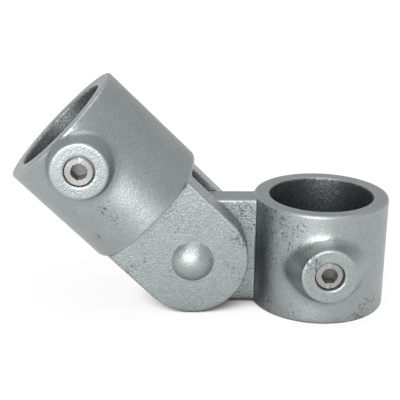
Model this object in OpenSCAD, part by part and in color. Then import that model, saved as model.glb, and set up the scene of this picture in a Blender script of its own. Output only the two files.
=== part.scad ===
// Adjustable tube clamp: an upright collar and a tube socket joined by a riveted fork.
// The origin is the middle of the collar's bore. +Z runs up the upright tube, the
// pivot lies on the -X side and both set screws face -Y.

/* [Tube] */
// Outside diameter of the tube that the collar and the socket take
tube_d = 48.3; // [42.4:0.1:60.3]
// Play between the tube and each bore, on the radius
tube_play = 0.45; // [0.3:0.05:0.5]

/* [Collar] */
// Height of the collar along the upright tube
collar_height = 53.2; // [50:0.2:64]
// Wall of the collar
collar_wall = 7.3; // [6.5:0.1:9]
// Rounding of the rims and of the boss edges
edge_r = 0.8; // [0.5:0.1:1.2]

/* [Tongue] */
// Thickness of the tongue that stands between the fork's ears
tongue_thick = 13.9; // [11:0.1:16]
// How far the tongue's long edges sit in from the collar's rims
tongue_inset = 1; // [0.8:0.1:2]
// Fillet between the tongue and the collar
tongue_fillet = 1; // [0.5:0.25:3.5]

/* [Fork] */
// Gap between the tongue and each ear
fork_play = 0.5; // [0.3:0.05:0.8]
// Thickness of one ear
ear_thick = 12.5; // [10:0.25:14]
// How far an ear's round end reaches past the tongue's
ear_lip = 1; // [0.4:0.1:1]
// Casting draft of an ear's sides, in degrees
ear_draft = 2.8; // [1:0.1:4]
// Open gap between the ears' ends and the collar
ear_gap = 3; // [2.8:0.1:6]
// Gap between the tongue's round end and the bottom of the fork
fork_depth_play = 0.8; // [0.5:0.1:1.5]

/* [Socket] */
// Angle of the socket above the line that runs straight out of the collar
swivel = 44.6; // [-90:0.1:90]
// Wall of the socket
socket_wall = 8; // [7:0.1:9.5]
// Depth of the socket's bore
socket_depth = 52.4; // [44:0.2:60]
// Solid floor between the fork and the socket's bore
socket_floor = 7.2; // [6.4:0.2:12]
// Step from the bottom of the fork to the socket's shoulder
shoulder_step = 2.4; // [2:0.1:4]
// Rounding of the socket's shoulder
shoulder_r = 3.5; // [2:0.25:5]

/* [Bosses] */
// Radius of a boss's flat face
boss_r = 13.1; // [11:0.1:13.5]
// How far a boss stands proud of its tube wall
boss_proud = 6.6; // [5:0.1:8]
// Upright side of a boss below its face
boss_land = 1; // [0.5:0.1:2]
// Slope of the skirt below the collar's boss, in degrees from the screw's axis
collar_boss_slope = 24; // [16:0.5:30]
// Slope of the skirt below the socket's boss, in degrees from the screw's axis
socket_boss_slope = 16; // [16:0.5:24]
// Distance of the socket's boss from the socket's mouth
boss_setback = 15.5; // [14.4:0.1:20]

/* [Set screws] */
// Thread diameter of a set screw
screw_d = 13.2; // [12:0.1:14]
// Length of a set screw
screw_len = 12; // [10.5:0.25:12.25]
// Running play of the thread, on the radius
thread_play = 0.08; // [0.05:0.01:0.1]
// Chamfer at the mouth of a threaded hole and at both ends of a screw
thread_chamfer = 0.7; // [0.4:0.1:0.9]
// How far the collar's screw sits below its boss face
collar_screw_recess = 1.5; // [1.3:0.1:3]
// How far the socket's screw sits below its boss face
socket_screw_recess = 0.5; // [0.3:0.1:3]
// Key size of the hexagon, across its flats
hex_af = 6.35; // [5:0.05:7]
// Depth of the hexagon
hex_depth = 6; // [4.5:0.25:7]
// Width of the cone that leads into the hexagon, past its corners
hex_lead = 0.4; // [0.2:0.05:0.6]
// Turn of the hexagon in the collar's screw, in degrees
collar_hex_turn = 0; // [0:1:59]
// Turn of the hexagon in the socket's screw, in degrees
socket_hex_turn = 30; // [0:1:59]
// Depth of the hollow in a screw's point
point_cup = 1; // [0.5:0.1:1.5]

/* [Rivet] */
// Diameter of the rivet's shank
rivet_d = 12; // [10:0.25:14]
// Running play of the shank in its holes, on the radius
rivet_play = 0.06; // [0.03:0.01:0.1]
// Radius of the rivet's domed heads
rivet_head_r = 9.8; // [9:0.1:12]
// Height of the rivet's domed heads
rivet_head_h = 4.8; // [3:0.1:7]

/* [Hidden] */
$fn = 96;
// Bores and walls
bore_r = tube_d / 2 + tube_play;
collar_r = bore_r + collar_wall;
socket_r = bore_r + socket_wall;
half_height = collar_height / 2;
// Tongue and fork
tongue_r = half_height - tongue_inset;
ear_r = tongue_r + ear_lip;
ear_drop = ear_thick * tan(ear_draft);
ear_in = tongue_thick / 2 + fork_play;
ear_out = ear_in + ear_thick;
pivot_x = -(collar_r + ear_gap + ear_r);
fillet_reach = sqrt(pow(collar_r + tongue_fillet, 2) - pow(tongue_thick / 2 + tongue_fillet, 2));
fillet_height = (tongue_thick / 2 + tongue_fillet) * collar_r / (collar_r + tongue_fillet);
// Heights along the socket, counted from the pivot
fork_bottom = tongue_r + fork_depth_play;
shoulder_z = fork_bottom + shoulder_step;
floor_z = fork_bottom + socket_floor;
mouth_z = floor_z + socket_depth;
boss_z = mouth_z - boss_setback;
// Screws
screw_r = screw_d / 2;
thread_r = screw_r + thread_play;
hex_r = hex_af / sqrt(3);
// A cutter reaches this far past the faces that it cuts
over = 1;

// Section of a round bar with rounded outer edges, from low to high
module bar_section(r, low, high, low_edge, high_edge) {
    translate([0, low + low_edge])
        square([r, high - low - low_edge - high_edge]);
    translate([0, low])
        square([r - low_edge, high - low]);
    translate([0, high - high_edge])
        square([r - high_edge, high_edge]);
    translate([r - low_edge, low + low_edge])
        circle(low_edge);
    translate([r - high_edge, high - high_edge])
        circle(high_edge);
}

// Cutter for a bore whose mouth at the height given is rounded
module bore_cut(low, mouth) {
    translate([0, 0, low])
        cylinder(h = mouth + over - low, r = bore_r);
    rotate_extrude()
        difference() {
            translate([0, mouth - edge_r])
                square([bore_r + edge_r, edge_r + over]);
            translate([bore_r + edge_r, mouth - edge_r])
                circle(edge_r);
        }
}

// Turns a shape that stands on +Z so that it faces -Y
module facing_front() {
    rotate([90, 0, 0])
        children();
}

// Set-screw boss with a flat face on a conical skirt, on a tube wall of radius wall_r.
// The skirt is buried in the wall, and stops short of the rim that lies rim_z above the boss.
module boss(wall_r, slope, rim_z) {
    face = wall_r + boss_proud;
    side_end = face - boss_land;
    foot_r = boss_r + (side_end - bore_r) * tan(slope);
    intersection() {
        facing_front()
            rotate_extrude()
                difference() {
                    polygon([[0, bore_r], [foot_r, bore_r], [boss_r, side_end], [boss_r, face], [0, face]]);
                    difference() {
                        translate([boss_r - edge_r, face - edge_r])
                            square(edge_r + over);
                        translate([boss_r - edge_r, face - edge_r])
                            circle(edge_r);
                    }
                }
        translate([-foot_r - over, -face - over, -foot_r - over])
            cube([2 * (foot_r + over), face + over, foot_r + over + rim_z - edge_r]);
    }
}

// Threaded hole of a boss, with a chamfered mouth
module screw_hole(wall_r) {
    face = wall_r + boss_proud;
    facing_front() {
        cylinder(h = face + over, r = thread_r);
        translate([0, 0, face - thread_chamfer])
            cylinder(h = thread_chamfer + over, r1 = thread_r, r2 = thread_r + thread_chamfer + over);
    }
}

// Hole for the rivet's shank through the tongue and both ears
module rivet_hole() {
    rotate([90, 0, 0])
        cylinder(h = 2 * (ear_out + over), r = rivet_d / 2 + rivet_play, center = true);
}

// Places a shape that is drawn with the pivot at the origin and the socket along +Z
module at_socket() {
    translate([pivot_x, 0, 0])
        rotate([0, swivel - 90, 0])
            children();
}

// Flat tongue with a round end about the pivot, rooted in the collar
module tongue() {
    rotate([90, 0, 0])
        linear_extrude(tongue_thick, center = true) {
            translate([pivot_x, 0])
                circle(tongue_r);
            translate([pivot_x, -tongue_r])
                square([-pivot_x, 2 * tongue_r]);
        }
    for (side = [0, 1])
        mirror([0, side, 0])
            linear_extrude(2 * tongue_r, center = true)
                difference() {
                    translate([-fillet_reach, 0])
                        square([fillet_reach, fillet_height]);
                    translate([-fillet_reach, tongue_thick / 2 + tongue_fillet])
                        circle(tongue_fillet);
                }
}

module collar_casting() {
    color([0.62, 0.65, 0.65])
        difference() {
            union() {
                rotate_extrude()
                    bar_section(collar_r, -half_height, half_height, edge_r, edge_r);
                tongue();
                boss(collar_r, collar_boss_slope, half_height);
            }
            for (side = [0, 1])
                mirror([0, 0, side])
                    bore_cut(-over, half_height);
            screw_hole(collar_r);
            translate([pivot_x, 0, 0])
                rivet_hole();
        }
}

// One ear of the fork on the +Y side: a round end about the pivot and straight sides, both with draft
module ear() {
    translate([0, ear_in, 0])
        rotate([-90, 0, 0])
            cylinder(h = ear_thick, r1 = ear_r, r2 = ear_r - ear_drop);
    linear_extrude(shoulder_z + shoulder_r)
        polygon([[-ear_r, ear_in], [ear_r, ear_in], [ear_r - ear_drop, ear_out], [ear_drop - ear_r, ear_out]]);
}

module socket_casting() {
    color([0.62, 0.65, 0.65])
        at_socket()
            difference() {
                union() {
                    rotate_extrude()
                        bar_section(socket_r, shoulder_z, mouth_z, shoulder_r, edge_r);
                    for (side = [0, 1])
                        mirror([0, side, 0])
                            ear();
                    translate([-ear_r, -ear_in, fork_bottom])
                        cube([2 * ear_r, 2 * ear_in, shoulder_step + shoulder_r]);
                    translate([0, 0, boss_z])
                        boss(socket_r, socket_boss_slope, boss_setback);
                }
                bore_cut(floor_z, mouth_z);
                translate([0, 0, boss_z])
                    screw_hole(socket_r);
                rivet_hole();
            }
}

// Straight shank through the fork with a domed head seated on each ear
module pivot_rivet() {
    dome_r = (pow(rivet_head_r, 2) + pow(rivet_head_h, 2)) / (2 * rivet_head_h);
    color([0.66, 0.68, 0.68])
        at_socket()
            facing_front() {
                cylinder(h = 2 * ear_out, r = rivet_d / 2, center = true);
                for (side = [0, 1])
                    mirror([0, 0, side])
                        rotate_extrude()
                            intersection() {
                                translate([0, ear_out + rivet_head_h - dome_r])
                                    circle(dome_r);
                                translate([0, ear_out])
                                    square([rivet_head_r, rivet_head_h]);
                            }
            }
}

// Grub screw along +Z with its key end at the height given, a hexagon in it and a hollow point
module set_screw(face, turn) {
    tip = face - screw_len;
    lead_r = hex_r + hex_lead;
    lead_depth = lead_r - hex_af / 4;
    difference() {
        rotate_extrude()
            polygon([
                [0, tip], [screw_r - thread_chamfer, tip], [screw_r, tip + thread_chamfer],
                [screw_r, face - thread_chamfer], [screw_r - thread_chamfer, face], [0, face]
            ]);
        translate([0, 0, face - hex_depth])
            rotate([0, 0, turn])
                cylinder(h = hex_depth + over, r = hex_r, $fn = 6);
        translate([0, 0, face - lead_depth])
            cylinder(h = lead_depth + over, r1 = lead_r - lead_depth, r2 = lead_r + over);
        translate([0, 0, tip - over])
            cylinder(h = point_cup + over, r1 = hex_r + over, r2 = hex_r - point_cup);
    }
}

module collar_set_screw() {
    color([0.75, 0.73, 0.71])
        facing_front()
            set_screw(collar_r + boss_proud - collar_screw_recess, collar_hex_turn);
}

module socket_set_screw() {
    color([0.75, 0.73, 0.71])
        at_socket()
            translate([0, 0, boss_z])
                facing_front()
                    set_screw(socket_r + boss_proud - socket_screw_recess, socket_hex_turn);
}

collar_casting();
socket_casting();
pivot_rivet();
collar_set_screw();
socket_set_screw();
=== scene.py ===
import math

import bmesh
import bpy
import numpy as np
from mathutils import Matrix, Vector


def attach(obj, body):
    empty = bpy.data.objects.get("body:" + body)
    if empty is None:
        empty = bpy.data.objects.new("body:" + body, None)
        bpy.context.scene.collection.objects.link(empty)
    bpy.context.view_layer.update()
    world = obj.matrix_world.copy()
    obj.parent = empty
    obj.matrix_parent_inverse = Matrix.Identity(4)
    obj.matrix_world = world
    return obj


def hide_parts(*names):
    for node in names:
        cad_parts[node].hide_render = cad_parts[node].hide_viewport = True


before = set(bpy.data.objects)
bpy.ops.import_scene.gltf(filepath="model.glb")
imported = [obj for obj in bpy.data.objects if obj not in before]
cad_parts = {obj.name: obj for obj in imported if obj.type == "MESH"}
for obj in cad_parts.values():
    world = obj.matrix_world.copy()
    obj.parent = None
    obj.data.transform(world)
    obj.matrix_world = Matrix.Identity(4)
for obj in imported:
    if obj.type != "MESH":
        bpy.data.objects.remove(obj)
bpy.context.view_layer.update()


# Collar casting: the ring that the upright tube runs through, with the flat tongue of the pivot on its
# left and a boss for the set screw in front. It is sand cast in one piece, so every edge is soft, and
# then hot-dip galvanised. Sizes are in millimetres until a piece is put in its place.
bore_r = 24.6
collar_r = 31.9
half_height = 26.6
rim_round = 0.8
tongue_thick = 13.9
tongue_r = 25.6
tongue_root = -28.0
tongue_round = 0.9
pivot_x = -61.5
boss_r = 13.1
boss_proud = 6.6
boss_land = 1.0
boss_foot = bore_r + 0.5
collar_boss_slope = 20
collar_boss_side_slope = 29
hole_r = 6.68
hole_chamfer = 0.4
hole_start = 12
rivet_hole_r = 6.06
rivet_hole_reach = 40
cut_past = 1


def turned(outline, rounds, steps=144):
    """Bar turned about +Z from a half outline of (radius, height) points.
    rounds: the number of a corner to the radius that it is rounded with."""
    bm = bmesh.new()
    corners = [bm.verts.new((radius, 0.0, height)) for radius, height in outline]
    bm.faces.new(corners)
    for number, radius in rounds.items():
        bmesh.ops.bevel(bm, geom=[corners[number]], offset=radius, offset_type="OFFSET", affect="VERTICES",
                        segments=6, profile=0.5, material=-1)
    bmesh.ops.delete(bm, geom=bm.faces[:], context="FACES_ONLY")
    on_axis = [e for e in bm.edges if max(abs(v.co.x) for v in e.verts) < 1e-6]
    bmesh.ops.delete(bm, geom=on_axis, context="EDGES")
    bmesh.ops.spin(bm, geom=bm.verts[:] + bm.edges[:], cent=(0, 0, 0), axis=(0, 0, 1), angle=math.tau,
                   steps=steps, use_merge=True)
    bmesh.ops.remove_doubles(bm, verts=bm.verts[:], dist=0.001)
    bmesh.ops.recalc_face_normals(bm, faces=bm.faces[:])
    return bm


def faced_front(bm, lift=0.0):
    """Turns a bar that stands on +Z so that it faces -Y, and lifts it along the tube."""
    to_front = Matrix.Rotation(math.pi / 2, 3, "X")
    bmesh.ops.rotate(bm, verts=bm.verts[:], cent=(0, 0, 0), matrix=to_front)
    bmesh.ops.translate(bm, verts=bm.verts[:], vec=(0, 0, lift))
    return bm


def screw_boss(wall_r, slope, side_slope, lift=0.0):
    """Boss for a set screw: a flat round face on a skirt that is buried in the tube's wall.
    slope: the skirt's along the tube, side_slope: the skirt's around the tube, both in degrees."""
    face = wall_r + boss_proud
    side_end = face - boss_land
    foot_r, foot_side = (boss_r + (side_end - boss_foot) * math.tan(math.radians(a))
                         for a in (slope, side_slope))
    bm = turned([(0, face), (boss_r, face), (boss_r, side_end), (foot_r, boss_foot), (0, boss_foot)],
                {1: rim_round})
    foot = [v for v in bm.verts if v.co.z < boss_foot + 0.01]
    bmesh.ops.scale(bm, verts=foot, vec=(foot_side / foot_r, 1, 1))
    return faced_front(bm, lift)


def screw_core(wall_r, lift=0.0):
    """What is drilled out of a boss for its set screw, with a chamfer at the mouth."""
    face = wall_r + boss_proud
    flare = hole_chamfer + cut_past
    outline = [(0, hole_start), (hole_r, hole_start), (hole_r, face - hole_chamfer),
               (hole_r + flare, face + cut_past), (0, face + cut_past)]
    return faced_front(turned(outline, {}), lift)


def rivet_core():
    """What is drilled out for the rivet's shank, along Y through the pivot."""
    outline = [(0, -rivet_hole_reach), (rivet_hole_r, -rivet_hole_reach),
               (rivet_hole_r, rivet_hole_reach), (0, rivet_hole_reach)]
    return faced_front(turned(outline, {}, steps=96))


def block(name, bm):
    """An object in the scene made of a bmesh."""
    mesh = bpy.data.meshes.new(name)
    bm.to_mesh(mesh)
    bm.free()
    made = bpy.data.objects.new(name, mesh)
    bpy.context.scene.collection.objects.link(made)
    return made


def cut_and_join(first, others):
    """Has a block take in other blocks, or be cut by them. others: (operation, block)."""
    for operation, other in others:
        work = first.modifiers.new(other.name, "BOOLEAN")
        work.operation = operation
        work.solver = "EXACT"
        work.object = other


def finished_mesh(name, first, others):
    """The mesh that a block's modifiers make of it. The blocks themselves are taken away."""
    bpy.context.view_layer.update()
    mesh = bpy.data.meshes.new_from_object(first.evaluated_get(bpy.context.evaluated_depsgraph_get()))
    for spare in (first, *others):
        spare_mesh = spare.data
        bpy.data.objects.remove(spare)
        bpy.data.meshes.remove(spare_mesh)
    mesh.name = name
    mesh.shade_smooth()
    return mesh


def poured(name, solids, cores, skin, keep):
    """One casting: its solids run together, its cores are left open, and its edges come out of the mould
    soft. skin is the size of the mesh and keep the share of its faces that stays."""
    first, *others = [block(f"{name}_solid_{i}", bm) for i, bm in enumerate(solids)]
    holes = [block(f"{name}_core_{i}", bm) for i, bm in enumerate(cores)]
    cut_and_join(first, [("UNION", other) for other in others] + [("DIFFERENCE", hole) for hole in holes])
    mould = first.modifiers.new("mould", "REMESH")
    mould.mode = "VOXEL"
    mould.voxel_size = skin
    soft = first.modifiers.new("soft_edges", "SMOOTH")
    soft.factor = 0.5
    soft.iterations = 3
    sand = bpy.data.textures.new(name + "_sand", "CLOUDS")
    sand.noise_scale = 9.0
    sand.noise_depth = 2
    uneven = first.modifiers.new("uneven", "DISPLACE")
    uneven.texture = sand
    uneven.texture_coords = "LOCAL"
    uneven.strength = 0.1
    uneven.mid_level = 1.0
    thinned = first.modifiers.new("thinned", "DECIMATE")
    thinned.ratio = keep
    return finished_mesh(name, first, others + holes)


ring = turned([(bore_r, -half_height), (collar_r, -half_height), (collar_r, half_height),
               (bore_r, half_height)], {0: rim_round, 1: rim_round, 2: rim_round, 3: rim_round})

tongue = bmesh.new()
tongue_top = tongue.verts.new((pivot_x, -tongue_thick / 2, tongue_r))
bmesh.ops.spin(tongue, geom=[tongue_top], cent=(pivot_x, 0, 0), axis=(0, -1, 0), angle=math.pi, steps=64)
ends = [v for v in tongue.verts if len(v.link_edges) == 1]
roots = bmesh.ops.extrude_vert_indiv(tongue, verts=ends)["verts"]
bmesh.ops.translate(tongue, verts=roots, vec=(tongue_root - pivot_x, 0, 0))
tongue.edges.new(roots)
bmesh.ops.edgeloop_fill(tongue, edges=tongue.edges[:])
thickness = bmesh.ops.extrude_face_region(tongue, geom=tongue.faces[:])["geom"]
far_side = [g for g in thickness if isinstance(g, bmesh.types.BMVert)]
bmesh.ops.translate(tongue, verts=far_side, vec=(0, tongue_thick, 0))
bmesh.ops.recalc_face_normals(tongue, faces=tongue.faces[:])
rims = [e for e in tongue.edges if abs(e.verts[0].co.y - e.verts[1].co.y) < 1e-4
        and min(v.co.x for v in e.verts) < tongue_root - 0.1]
bmesh.ops.bevel(tongue, geom=rims, offset=tongue_round, offset_type="OFFSET", affect="EDGES", segments=4,
                profile=0.5, material=-1)

pivot_core = rivet_core()
bmesh.ops.translate(pivot_core, verts=pivot_core.verts[:], vec=(pivot_x, 0, 0))
collar_mesh = poured("collar_galvanised",
                     [ring, tongue, screw_boss(collar_r, collar_boss_slope, collar_boss_side_slope)],
                     [screw_core(collar_r), pivot_core], skin=0.46, keep=0.58)


def run_out(mesh, wall_r, lift, low, top, rounds):
    """Rounds the hollow corner in which a boss's skirt meets its wall, between two heights."""
    bm = bmesh.new()
    bm.from_mesh(mesh)
    skirt_end = wall_r + boss_proud - boss_land - 0.3
    skirt_in, skirt_out = boss_r - 0.5, boss_r + 14
    under_skin = wall_r - 2
    corner = [v for v in bm.verts if 0 < -v.co.y < skirt_end and low < v.co.z < top
              and math.hypot(v.co.x, v.co.y) > under_skin
              and skirt_in < math.hypot(v.co.x, v.co.z - lift) < skirt_out]
    for _ in range(rounds):
        bmesh.ops.smooth_vert(bm, verts=corner, factor=0.5, use_axis_x=True, use_axis_y=True,
                              use_axis_z=True)
    bm.to_mesh(mesh)
    bm.free()


rim_left_alone = 3
run_out(collar_mesh, collar_r, 0, rim_left_alone - half_height, half_height - rim_left_alone, rounds=60)


def mark_wear_and_painted_light(mesh, bores, walls, pitted):
    """Notes on each point how sharply it stands out or lies back, whether it is inside a bore or on a tube's
    round outside, and how pitted it is. The edge, crease and bore marks steer a painted highlight on edges
    and painted shade in creases and bores, and the wall mark also a painted lightening of round walls.
    bores: (axis point, axis, radius, low, high). walls: (radius, low). pitted: (place, reach, share)."""
    count = len(mesh.vertices)
    place = np.empty(count * 3, np.float32)
    mesh.vertices.foreach_get("co", place)
    place = place.reshape(-1, 3)
    normal = np.empty(count * 3, np.float32)
    mesh.vertex_normals.foreach_get("vector", normal)
    normal = normal.reshape(-1, 3)
    ends = np.empty(len(mesh.edges) * 2, np.int32)
    mesh.edges.foreach_get("vertices", ends)
    a, b = ends.reshape(-1, 2).T
    along = place[b] - place[a]
    span = np.maximum((along ** 2).sum(1), 1e-9)
    links = np.maximum(np.bincount(a, minlength=count) + np.bincount(b, minlength=count), 1)

    def round_about(at_a, at_b):
        return (np.bincount(a, at_a, count) + np.bincount(b, at_b, count)) / links

    bend = round_about(-2 * (normal[a] * along).sum(1) / span, 2 * (normal[b] * along).sum(1) / span)
    for _ in range(4):
        bend = 0.4 * bend + 0.6 * round_about(bend[b], bend[a])
    full_bend = 0.45
    bore_edge, bore_fade = 0.5, 0.4
    inside = np.zeros(count)
    for foot, axis, radius, low, high in bores:
        out = place - np.array(foot)
        height = out @ np.array(axis)
        away = np.linalg.norm(out - np.outer(height, axis), axis=1)
        within = np.clip((radius + bore_edge - away) / bore_fade, 0, 1)
        inside = np.maximum(inside, within * (height > low) * (height < high))
    wall_edge, wall_fade = 1.8, 1.2
    outside = np.zeros(count)
    for radius, low in walls:
        away = np.abs(np.hypot(place[:, 0], place[:, 1]) - radius)
        on_wall = np.clip((wall_edge - away) / wall_fade, 0, 1)
        outside = np.maximum(outside, on_wall * (place[:, 2] > low))
    pit_edge = 1.4
    pits = np.zeros(count)
    for centre, reach, share in pitted:
        away = np.linalg.norm(place - np.array(centre), axis=1) / reach
        pits = np.maximum(pits, share * np.clip(pit_edge - away, 0, 1))
    edge, crease = np.clip(bend / full_bend, 0, 1), np.clip(-bend / full_bend, 0, 1)
    for title, value in (("edge", edge), ("crease", crease), ("bore", inside), ("wall", outside),
                         ("pitting", pits)):
        mesh.attributes.new(title, "FLOAT", "POINT").data.foreach_set("value", value.astype(np.float32))


# The bores' painted shade stops this far short of each rim.
bore_shade_stop = 0.15
mark_wear_and_painted_light(collar_mesh, [((0, 0, 0), (0, 0, 1), bore_r, -half_height + bore_shade_stop, half_height - bore_shade_stop)],
          [(collar_r, -half_height)],
          [((-20.7, -24.3, 20.8), 5, 1.2), ((-13.5, -28.9, 20.6), 4.5, 1.0), ((-27, -16, 20), 9, 1.1),
           ((-17.5, -26.7, 13.4), 7, 1.0), ((-28, -15.4, 3.8), 10, 1.0), ((-10.9, -30, 10.8), 6, 0.9),
           ((-26, -18, -22), 8, 0.9), ((-14.6, -28.4, -23.5), 5, 0.95), ((17, -27, -23.5), 7, 1.1),
           ((22.7, -22.4, -18), 4.5, 1.0), ((-8, -38.5, 6), 6, 1.0), ((-36.3, -7, 19.7), 7, 1.0),
           ((-33.2, -7, 13.1), 6, 0.9), ((-34, -7, -7), 8, 0.65), ((-38, -7, -20), 8, 0.65),
           ((-21, 24, -16), 14, 0.7), ((7, 31, 17), 12, 0.62), ((25, 20, -20), 10, 0.75),
           ((-35, 7, 15), 10, 0.75), ((30, 9, 8), 9, 0.6), ((-10, 30, 5), 10, 0.55)])


def linked(tree, kind, settings=None, **inputs):
    """A node of a shader tree. Each input is a value or the socket that feeds it, and is named with _ for a
    space, or by its number after an i."""
    made = tree.nodes.new(kind)
    for title, value in (settings or {}).items():
        setattr(made, title, value)
    for title, value in inputs.items():
        numbered = title[0] == "i" and title[1:].isdigit()
        socket = made.inputs[int(title[1:]) if numbered else title.replace("_", " ")]
        if isinstance(value, bpy.types.NodeSocket):
            tree.links.new(value, socket)
        else:
            socket.default_value = value
    return made


def maths(tree, operation, *values):
    """The result of a sum on values or sockets."""
    numbered = {f"i{number}": value for number, value in enumerate(values)}
    return linked(tree, "ShaderNodeMath", {"operation": operation}, **numbered).outputs[0]


def ranged(tree, source, start, end, low, high, kind="LINEAR"):
    """A value that runs from low to high while its source runs from start to end."""
    return linked(tree, "ShaderNodeMapRange", {"interpolation_type": kind}, Value=source,
                  From_Min=start, From_Max=end, To_Min=low, To_Max=high).outputs[0]


def blend(tree, kind, share, first, second):
    """A colour mixed from two."""
    return linked(tree, "ShaderNodeMix", {"data_type": "RGBA", "blend_type": kind},
                  i0=share, i6=first, i7=second).outputs[2]


def noted(tree, title):
    """What mark_wear_and_painted_light, or a piece's own maker, noted on the surface."""
    return linked(tree, "ShaderNodeAttribute", {"attribute_name": title}).outputs["Fac"]


def in_millimetres(tree):
    """The place on the piece, in millimetres."""
    in_metres = tree.nodes.new("ShaderNodeTexCoord").outputs["Object"]
    return linked(tree, "ShaderNodeMapping", Vector=in_metres, Scale=(1000, 1000, 1000)).outputs[0]


def new_group(title, inputs, outputs):
    """An empty shader node group with named sockets, and its two ends."""
    tree = bpy.data.node_groups.new(title, "ShaderNodeTree")
    for name, kind in inputs:
        tree.interface.new_socket(name, in_out="INPUT", socket_type=kind)
    for name in outputs:
        tree.interface.new_socket(name, in_out="OUTPUT", socket_type="NodeSocketFloat")
    return tree, tree.nodes.new("NodeGroupInput").outputs, tree.nodes.new("NodeGroupOutput").inputs


# Zinc that set on a rough surface: coarse and fine grain that catches the light, specks of lighter and
# darker crystals, and broad areas that are a little paler or darker.
grain_tree, grain_in, grain_out = new_group(
    "zinc_grain", [("Place", "NodeSocketVector"), ("Grains", "NodeSocketFloat")],
    ["Height", "Specks", "Tone"])
fine = linked(grain_tree, "ShaderNodeTexNoise", Vector=grain_in["Place"], Scale=grain_in["Grains"],
              Detail=3.0, Roughness=0.65)
coarse = linked(grain_tree, "ShaderNodeTexNoise", Vector=grain_in["Place"],
                Scale=maths(grain_tree, "MULTIPLY", grain_in["Grains"], 0.45), Detail=2.0)
heights = linked(grain_tree, "ShaderNodeMix", Factor=0.3, A=fine.outputs["Fac"], B=coarse.outputs["Fac"])
speck = linked(grain_tree, "ShaderNodeTexNoise", Vector=grain_in["Place"],
               Scale=maths(grain_tree, "MULTIPLY", grain_in["Grains"], 1.7), Detail=1.0)
blotch = linked(grain_tree, "ShaderNodeTexNoise", Vector=grain_in["Place"], Scale=0.09, Detail=3.0)
grain_tree.links.new(heights.outputs["Result"], grain_out["Height"])
grain_tree.links.new(speck.outputs["Fac"], grain_out["Specks"])
grain_tree.links.new(blotch.outputs["Fac"], grain_out["Tone"])

# Pits and smears in the casting's skin, in clusters, where the zinc is thin and dark.
pit_tree, pit_in, pit_out = new_group(
    "skin_pits", [("Place", "NodeSocketVector"), ("Pitting", "NodeSocketFloat")], ["Mask"])
drawn = linked(pit_tree, "ShaderNodeMapping", Vector=pit_in["Place"], Scale=(1, 1, 0.85))
holes = linked(pit_tree, "ShaderNodeTexNoise", Vector=drawn.outputs[0], Scale=0.7, Detail=5.0,
               Roughness=0.62)
cluster = linked(pit_tree, "ShaderNodeTexNoise", Vector=pit_in["Place"], Scale=0.11, Detail=1.0)
crowd = ranged(pit_tree, cluster.outputs["Fac"], 0.4, 0.75, 0.0, 0.05)
pit_share = maths(pit_tree, "MULTIPLY_ADD", pit_in["Pitting"], 0.17, crowd)
pit_depth = maths(pit_tree, "ADD", holes.outputs["Fac"], pit_share)
pit_tree.links.new(ranged(pit_tree, pit_depth, 0.66, 0.82, 0.0, 0.78), pit_out["Mask"])


def zinc_coat(title, colour, edge_highlight_colour, dark, roughness, grains, bump):
    """A galvanised finish: grainy zinc, smoother on round walls, with painted shading that makes those walls
    a little lighter, paler along edges as a painted highlight, dark in pits, and with painted shade in
    creases and inside bores."""
    made = bpy.data.materials.new(title)
    made.use_nodes = True
    tree = made.node_tree
    shader = tree.nodes["Principled BSDF"]
    shader.inputs["Metallic"].default_value = 1.0
    place = in_millimetres(tree)
    edge, crease, bore, wall, pitting = (
        noted(tree, t) for t in ("edge", "crease", "bore", "wall", "pitting"))
    grain = linked(tree, "ShaderNodeGroup", {"node_tree": grain_tree}, Place=place, Grains=grains).outputs
    pits = linked(tree, "ShaderNodeGroup", {"node_tree": pit_tree}, Place=place,
                  Pitting=pitting).outputs["Mask"]

    def spread(source, low, high):
        return ranged(tree, source, 0.3, 0.7, low, high)

    def times(first, second):
        return maths(tree, "MULTIPLY", first, second)

    shade = times(spread(grain["Tone"], 0.96, 1.04), spread(grain["Specks"], 0.84, 1.16))
    # Painted shading: round tube walls are made a little lighter and all other faces a little darker.
    painted_wall_light = ranged(tree, wall, 0.0, 1.0, 0.965, 1.05)
    coat = blend(tree, "MULTIPLY", 1.0, (*colour, 1), times(shade, painted_wall_light))
    # Painted highlight: convex edges are mixed towards a paler colour.
    edge_highlighted = blend(tree, "MIX", times(edge, 0.2), coat, (*edge_highlight_colour, 1))
    # Painted shade: the insides of bores are darkened, flecked by the specks.
    bore_shade = times(bore, spread(grain["Specks"], 0.86, 0.2))
    # Painted shade in creases, joined with the painted shade inside the bores.
    painted_shade = maths(tree, "MAXIMUM", bore_shade, times(crease, 0.18))
    finish = blend(tree, "MIX", maths(tree, "MAXIMUM", painted_shade, pits), edge_highlighted, (*dark, 1))
    tree.links.new(finish, shader.inputs["Base Color"])
    dulled = maths(tree, "ADD", times(bore, 0.1), times(wall, 0.04))
    gloss = maths(tree, "ADD", spread(grain["Height"], roughness - 0.06, roughness + 0.08), dulled)
    tree.links.new(gloss, shader.inputs["Roughness"])
    raised = times(grain["Height"], ranged(tree, wall, 0.0, 1.0, 1.0, 0.63))
    sunk = maths(tree, "SUBTRACT", raised, times(pits, 0.5))
    relief = linked(tree, "ShaderNodeBump", Strength=bump, Distance=0.0004, Height=sunk)
    tree.links.new(relief.outputs[0], shader.inputs["Normal"])
    return made


# Dark colour of bare iron in the pits, also used for the painted shade in creases and bores.
bare_iron_and_shade = (0.066, 0.072, 0.073)
galvanised = zinc_coat("galvanised_casting", colour=(0.328, 0.3575, 0.3575), edge_highlight_colour=(0.55, 0.59, 0.59),
                       dark=bare_iron_and_shade, roughness=0.36, grains=1.2, bump=0.57)


def placed(name, mesh, place, material):
    """A finished mesh as a piece of the scene, put in its place and turned from millimetres to metres."""
    mesh.transform(Matrix.Scale(0.001, 4) @ place)
    piece = bpy.data.objects.new(name, mesh)
    bpy.context.scene.collection.objects.link(piece)
    mesh.materials.clear()
    mesh.materials.append(material)
    return piece


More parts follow.
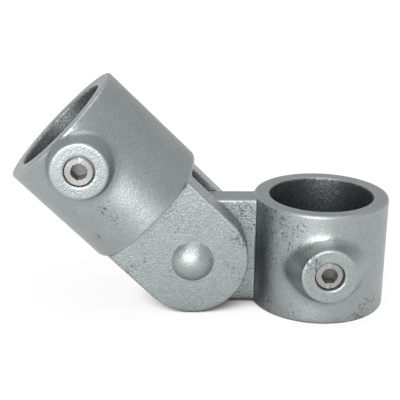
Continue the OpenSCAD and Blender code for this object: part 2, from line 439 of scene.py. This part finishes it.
collar = placed("collar_galvanised", collar_mesh, Matrix.Identity(4), galvanised)
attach(collar, "collar")
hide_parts("collar_casting")


# Socket casting: the blind socket that takes the end of the second tube, with its own screw boss and the
# two ears that hold the collar's tongue. It is cast and galvanised like the collar, and tilts about the
# rivet. It is made upright, with the pivot at its origin.
socket_r = 32.6
swivel = 44.6
ear_in = 7.45
ear_out = 19.95
ear_r = 26.6
ear_drop = 0.61
fork_bottom = 26.4
shoulder_z = 28.8
shoulder_round = 3.5
floor_z = 33.6
floor_round = 1.5
mouth_z = 86.0
boss_z = 70.5
socket_boss_slope = 16
socket_boss_side_slope = 17

barrel = turned([(bore_r, floor_z), (0, floor_z), (0, shoulder_z), (socket_r, shoulder_z),
                 *((socket_r, shoulder_z + rise) for rise in (1.2, 1.7, 2.3, 2.9, 3.5)),
                 (socket_r, mouth_z), (bore_r, mouth_z)],
                {0: floor_round, 3: rim_round, 9: rim_round, 10: rim_round})
# The shoulder is nearly sharp in front and behind, over the ears, and well rounded at its two sides.
for v in barrel.verts:
    away = max(v.co.xy.length, 1e-6)
    edge_round = rim_round + (shoulder_round - rim_round) * (v.co.x / away) ** 4
    drop = shoulder_z + edge_round - v.co.z
    if drop > 0:
        reach = socket_r - edge_round + math.sqrt(max(edge_round ** 2 - drop ** 2, 0))
        bmesh.ops.scale(barrel, verts=[v], vec=(min(1, reach / away), min(1, reach / away), 1))


def fork_ear(side):
    """One ear: a round end about the pivot and straight sides up into the barrel. Its outer face is a little
    smaller, so that it comes out of the mould."""
    bm = bmesh.new()
    low = bm.verts.new((ear_r, side * ear_in, 0))
    bmesh.ops.spin(bm, geom=[low], cent=(0, side * ear_in, 0), axis=(0, 1, 0), angle=math.pi, steps=64)
    ends = [v for v in bm.verts if len(v.link_edges) == 1]
    tops = bmesh.ops.extrude_vert_indiv(bm, verts=ends)["verts"]
    bmesh.ops.translate(bm, verts=tops, vec=(0, 0, shoulder_z + shoulder_round))
    bm.edges.new(tops)
    bmesh.ops.edgeloop_fill(bm, edges=bm.edges[:])
    thickness = bmesh.ops.extrude_face_region(bm, geom=bm.faces[:])["geom"]
    outer = [g for g in thickness if isinstance(g, bmesh.types.BMVert)]
    bmesh.ops.translate(bm, verts=outer, vec=(0, side * (ear_out - ear_in), 0))
    draft = (ear_r - ear_drop) / ear_r
    bmesh.ops.scale(bm, verts=[v for v in outer if v.co.z < 1e-4], vec=(draft, 1, draft))
    bmesh.ops.scale(bm, verts=[v for v in outer if v.co.z > 1e-4], vec=(draft, 1, 1))
    bmesh.ops.recalc_face_normals(bm, faces=bm.faces[:])
    return bm


web_top = shoulder_z + shoulder_round
web = bmesh.new()
bmesh.ops.create_cube(web, size=1.0)
bmesh.ops.scale(web, verts=web.verts[:], vec=(2 * ear_r - 0.2, 2 * ear_in + 1, web_top - fork_bottom))
bmesh.ops.translate(web, verts=web.verts[:], vec=(0, 0, (web_top + fork_bottom) / 2))

mouth_boss = screw_boss(socket_r, socket_boss_slope, socket_boss_side_slope, boss_z)
bmesh.ops.bisect_plane(mouth_boss, geom=mouth_boss.verts[:] + mouth_boss.edges[:] + mouth_boss.faces[:],
                       plane_co=(0, 0, mouth_z - 0.5), plane_no=(0, 0, 1), clear_outer=True)
bmesh.ops.holes_fill(mouth_boss, edges=[e for e in mouth_boss.edges if e.is_boundary])
bmesh.ops.recalc_face_normals(mouth_boss, faces=mouth_boss.faces[:])

socket_mesh = poured("socket_galvanised", [barrel, fork_ear(1), fork_ear(-1), web, mouth_boss],
                     [screw_core(socket_r, boss_z), rivet_core()], skin=0.5, keep=0.51)
run_out(socket_mesh, socket_r, boss_z, shoulder_z + 4, mouth_z - 2, rounds=50)
mark_wear_and_painted_light(socket_mesh, [((0, 0, 0), (0, 0, 1), bore_r, floor_z - 1, mouth_z - bore_shade_stop)],
          [(socket_r, shoulder_z)],
          [((-5.9, -32, 49.6), 4, 1.15), ((-6.9, -32, 44), 4, 1.0), ((-20, -25.6, 41.5), 3, 0.8),
           ((17.3, -27.6, 46), 2.5, 0.9), ((31.5, -8.4, 67), 4, 0.75), ((9, -20, 25), 7, 0.7),
           ((8, -20, 17), 6, 0.65), ((22.9, -20, -7.3), 5, 1.2), ((11, -20, -14), 4, 0.85),
           ((10, -20, -21), 5, 0.75), ((-23.2, -20, 17.2), 4, 1.0), ((-15.4, -20, 14.4), 3, 0.8),
           ((9, 31, 43), 10, 0.7), ((-15, 29, 71), 12, 0.62), ((-30, 12, 55), 9, 0.6),
           ((24, 22, 62), 8, 0.65), ((19, 20, -10), 10, 0.75), ((-12, 20, 15), 9, 0.65)])
at_pivot = Matrix.Translation((pivot_x, 0, 0)) @ Matrix.Rotation(math.radians(swivel - 90), 4, "Y")
socket = placed("socket_galvanised", socket_mesh, at_pivot, galvanised)
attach(socket, "socket")
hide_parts("socket_casting")


# Pivot rivet: a steel bar with a domed head on both sides, hammered over the ears, so its dome is a little
# uneven. It was galvanised with the castings and turns with the ears.
rivet_r = 6.0
head_r = 9.8
head_h = 4.8
head_edge = 0.05
head_undercut = 0.35
dome_r = (head_r ** 2 + head_h ** 2) / (2 * head_h)
dome_end = math.asin(head_r / dome_r) * 0.985
dents = ((4.2, 4.6, 3.4, 0.22), (-3.2, -4.4, 3.6, 0.08), (5.6, -1.6, 3.0, 0.07), (-5.4, 2.4, 2.6, 0.06))

dome = [(dome_r * math.sin(a), ear_out + head_h - dome_r * (1 - math.cos(a)))
        for a in np.linspace(0, dome_end, 16)]
half = [*dome, (head_r, ear_out + head_edge), (head_r - head_undercut, ear_out), (rivet_r, ear_out)]
rivet_bar = faced_front(turned(half + [(r, -h) for r, h in reversed(half)], {}, steps=96))
for dent_x, dent_z, reach, depth in dents:
    for v in rivet_bar.verts:
        away = math.hypot(v.co.x - dent_x, v.co.z - dent_z) / reach
        if away < 1 and abs(v.co.y) > ear_out + 0.3:
            v.co.y -= math.copysign(depth * (1 - away ** 2) ** 2, v.co.y)
rivet = block("rivet_domed", rivet_bar)
rivet.data.shade_smooth()
rivet.data.set_sharp_from_angle(angle=math.radians(50))
mark_wear_and_painted_light(rivet.data, [], [], [])
rivet.data.transform(Matrix.Scale(0.001, 4) @ at_pivot)
rivet_zinc = zinc_coat("galvanised_rivet", colour=(0.395, 0.428, 0.428), edge_highlight_colour=(0.53, 0.57, 0.57),
                       dark=bare_iron_and_shade, roughness=0.42, grains=1.6, bump=0.6)
rivet.data.materials.append(rivet_zinc)
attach(rivet, "socket")
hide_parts("pivot_rivet")


# Set screws: two headless screws of plated steel with a hexagon for the key in one end and a hollow point
# on the other. They are turned on a lathe and screwed into the bosses, each to a depth of its own.
screw_r = 6.55
screw_len = 12.0
end_chamfer = 0.7
head_chamfer = 0.35
head_chamfer_depth = 0.45
point_depth = 1.0
pitch = 1.337
root_r = 5.75
hex_r = 4.0
hex_depth = 6.0
lead_depth = 0.8
lead_in = 1.1
lead_out = 0.7
turns = 11
steps_a_turn = 48
collar_screw_sunk = 1.5
collar_key_turn = 31.3
socket_screw_sunk = 0.5
socket_key_turn = 0.7

plated = bpy.data.materials.new("plated_screw")
plated.use_nodes = True
plating = plated.node_tree
plated_shader = plating.nodes["Principled BSDF"]
plated_shader.inputs["Metallic"].default_value = 1.0
plated_grain = linked(plating, "ShaderNodeGroup", {"node_tree": grain_tree}, Place=in_millimetres(plating),
                      Grains=2.6).outputs["Height"]
plated_tone = blend(plating, "MIX", plated_grain, (0.265, 0.269, 0.26, 1), (0.365, 0.37, 0.358, 1))
# Painted shade: the key's hexagon is darkened towards its bottom.
key_shade = maths(plating, "MULTIPLY", noted(plating, "key_depth"), 0.62)
plated_colour = blend(plating, "MIX", key_shade, plated_tone, (0.08, 0.078, 0.073, 1))
plating.links.new(plated_colour, plated_shader.inputs["Base Color"])
lathe_marks = maths(plating, "SINE", maths(plating, "MULTIPLY", noted(plating, "lathe"), 14.0))
plated_relief = maths(plating, "MULTIPLY_ADD", lathe_marks, 0.25, plated_grain)
plated_bump = linked(plating, "ShaderNodeBump", Strength=0.25, Distance=0.0002, Height=plated_relief)
plating.links.new(plated_bump.outputs[0], plated_shader.inputs["Normal"])
plating.links.new(ranged(plating, plated_grain, 0.3, 0.7, 0.38, 0.48), plated_shader.inputs["Roughness"])


def set_screw(name, face, key_turn, place):
    """A screw that is turned about +Z, threaded and cut for its key, and then faces -Y.
    face: how far its outer end is from the tube's axis. key_turn: the hexagon's, in degrees."""
    tip = face - screw_len
    low, high = tip - 2, face + 2
    core = block(name, turned([(0, low), (root_r, low), (root_r, high), (0, high)], {}, steps=96))
    ridge = ((root_r - 0.5, 0.02), (root_r, 0.1), (screw_r, 0.56), (screw_r, 0.74), (root_r, 1.2),
             (root_r - 0.5, 1.28))
    thread = bmesh.new()
    thread.faces.new([thread.verts.new((r, 0, h)) for r, h in ridge])
    bmesh.ops.spin(thread, geom=thread.verts[:] + thread.edges[:] + thread.faces[:], cent=(0, 0, 0),
                   axis=(0, 0, 1), dvec=(0, 0, pitch / steps_a_turn), angle=math.tau * turns,
                   steps=turns * steps_a_turn)
    bmesh.ops.recalc_face_normals(thread, faces=thread.faces[:])
    bmesh.ops.translate(thread, verts=thread.verts[:], vec=(0, 0, tip - pitch))
    clear = 0.05
    ends = turned([(0, tip), (screw_r - end_chamfer, tip), (screw_r + clear, tip + end_chamfer + clear),
                   (screw_r + clear, face - head_chamfer_depth), (screw_r - head_chamfer, face), (0, face)],
                  {}, steps=96)
    key_place = Matrix.Translation((0, 0, face - hex_depth / 2 + cut_past / 2))
    key = bmesh.new()
    bmesh.ops.create_cone(key, cap_ends=True, segments=6, radius1=hex_r, radius2=hex_r,
                          depth=hex_depth + cut_past,
                          matrix=key_place @ Matrix.Rotation(math.radians(key_turn), 4, "Z"))
    lead = turned([(0, face - lead_depth), (hex_r - lead_in, face - lead_depth),
                   (hex_r + lead_out, face + cut_past), (0, face + cut_past)], {}, steps=72)
    hollow = turned([(0, tip + point_depth), (hex_r + 1, tip - cut_past), (0, tip - cut_past)], {},
                    steps=72)
    tools = [("UNION", thread), ("INTERSECT", ends), ("DIFFERENCE", key), ("DIFFERENCE", lead),
             ("DIFFERENCE", hollow)]
    tools = [(operation, block(f"{name}_tool_{i}", bm)) for i, (operation, bm) in enumerate(tools)]
    cut_and_join(core, tools)
    mesh = finished_mesh(name, core, [tool for _, tool in tools])
    points = np.empty(len(mesh.vertices) * 3, np.float32)
    mesh.vertices.foreach_get("co", points)
    across, along, height = points.reshape(-1, 3).T
    from_axis = np.hypot(across, along)
    # How deep a point lies in the key's hexagon, for its painted shade.
    key_depth = np.clip((face - 0.35 - height) / 1.2, 0, 1) * (from_axis < hex_r + 0.6)
    key_depth *= height > face - hex_depth - 1
    for title, value in (("lathe", from_axis), ("key_depth", key_depth)):
        mesh.attributes.new(title, "FLOAT", "POINT").data.foreach_set("value", value.astype(np.float32))
    mesh.set_sharp_from_angle(angle=math.radians(30))
    return placed(name, mesh, place @ Matrix.Rotation(math.pi / 2, 4, "X"), plated)


collar_screw = set_screw("collar_screw_threaded", collar_r + boss_proud - collar_screw_sunk,
                         collar_key_turn, Matrix.Identity(4))
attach(collar_screw, "collar_screw")
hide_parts("collar_set_screw")

socket_screw = set_screw("socket_screw_threaded", socket_r + boss_proud - socket_screw_sunk,
                         socket_key_turn, at_pivot @ Matrix.Translation((0, 0, boss_z)))
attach(socket_screw, "socket_screw")
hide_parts("socket_set_screw")


# Studio: a white table top that glows where it is open to the sky, a little less near the clamp, and keeps
# the clamp's shadow close to its foot, partly cast and partly a painted shadow in that glow, which the metal
# sees wider in its reflections; even white light from all round, a soft lamp behind the camera on its left
# and a weaker one overhead.
# The camera stands where the photograph was taken from. Sizes here are in metres.
table_half = 6.0
table_near, table_far = 0.15, 0.6
near_glow, far_glow = 0.86, 1.09
shadow_reach = 0.06
shadow_full, shadow_none, shadow_none_in_metal = 0.04, 0.32, 0.8
table_paint, table_paint_seen = 0.7, 0.15
world_strength = 0.7

table_bm = bmesh.new()
bmesh.ops.create_grid(table_bm, x_segments=1, y_segments=1, size=table_half)
bmesh.ops.translate(table_bm, verts=table_bm.verts[:], vec=(0, 0, -half_height * 0.001))
table = block("studio_floor", table_bm)
white = bpy.data.materials.new("studio_white")
white.use_nodes = True
tree = white.node_tree
tree.nodes.remove(tree.nodes["Principled BSDF"])
rays = linked(tree, "ShaderNodeLightPath").outputs
shown = maths(tree, "MAXIMUM", rays["Is Camera Ray"], rays["Is Glossy Ray"])
shown = maths(tree, "MAXIMUM", shown, rays["Is Transmission Ray"])
away = linked(tree, "ShaderNodeVectorMath", {"operation": "LENGTH"},
              i0=tree.nodes.new("ShaderNodeTexCoord").outputs["Object"]).outputs["Value"]
further = ranged(tree, away, table_near, table_far, near_glow, far_glow)
# Painted shadow: the glow is dimmed where the clamp hides the sky, and over a wider ring for glossy rays, so
# the metal reflects a darker table near its foot.
open_above = linked(tree, "ShaderNodeAmbientOcclusion", Distance=shadow_reach).outputs["AO"]
fully_open = ranged(tree, rays["Is Glossy Ray"], 0.0, 1.0, shadow_none, shadow_none_in_metal)
unshaded = ranged(tree, open_above, shadow_full, fully_open, 0.0, 1.0, kind="SMOOTHSTEP")
glow = linked(tree, "ShaderNodeEmission",
              Strength=maths(tree, "MULTIPLY", shown, maths(tree, "MULTIPLY", unshaded, further)))
paint = ranged(tree, shown, 0.0, 1.0, table_paint, table_paint_seen)
matt = linked(tree, "ShaderNodeBsdfDiffuse", Color=paint)
both = linked(tree, "ShaderNodeAddShader", i0=matt.outputs[0], i1=glow.outputs[0])
tree.links.new(both.outputs[0], tree.nodes["Material Output"].inputs["Surface"])
table.data.materials.append(white)

world = bpy.data.worlds.new("studio")
bpy.context.scene.world = world
world.use_nodes = True
sky = world.node_tree.nodes["Background"]
sky.inputs["Color"].default_value = (1, 1, 1, 1)
sky.inputs["Strength"].default_value = world_strength


def soft_lamp(name, place, aim, width, power):
    """A square lamp that shines from one place to another."""
    lamp = bpy.data.lights.new(name, "AREA")
    lamp.shape = "SQUARE"
    lamp.size = width
    lamp.energy = power
    made = bpy.data.objects.new(name, lamp)
    made.location = place
    made.rotation_euler = (Vector(aim) - Vector(place)).to_track_quat("-Z", "Y").to_euler()
    bpy.context.scene.collection.objects.link(made)


soft_lamp("key_lamp", (-0.268, -0.902, 0.234), aim=(-0.06, 0, 0.02), width=0.5, power=6.9)
soft_lamp("top_lamp", (-0.06, -0.15, 0.9), aim=(-0.06, 0, 0), width=0.8, power=2.6)

camera_place = (-0.077244, -0.476771, 0.19271)
elevation, yaw, roll = (math.radians(a) for a in (19.565, 2.346, 0.971))
camera_data = bpy.data.cameras.new("camera")
camera_data.sensor_width = 36.0
camera_data.lens = 96.03
camera_data.clip_start = 0.01
camera_data.clip_end = 50.0
camera = bpy.data.objects.new("camera", camera_data)
ahead = Vector((math.sin(yaw) * math.cos(elevation), math.cos(yaw) * math.cos(elevation),
                -math.sin(elevation)))
level = Vector((math.cos(yaw), -math.sin(yaw), 0))
upright = level.cross(ahead)
right = math.cos(roll) * level + math.sin(roll) * upright
above = math.cos(roll) * upright - math.sin(roll) * level
turn = Matrix((right, above, -ahead)).transposed().to_4x4()
camera.matrix_world = Matrix.Translation(camera_place) @ turn
bpy.context.scene.collection.objects.link(camera)
bpy.context.scene.camera = camera
bpy.context.scene.view_settings.view_transform = "Standard"
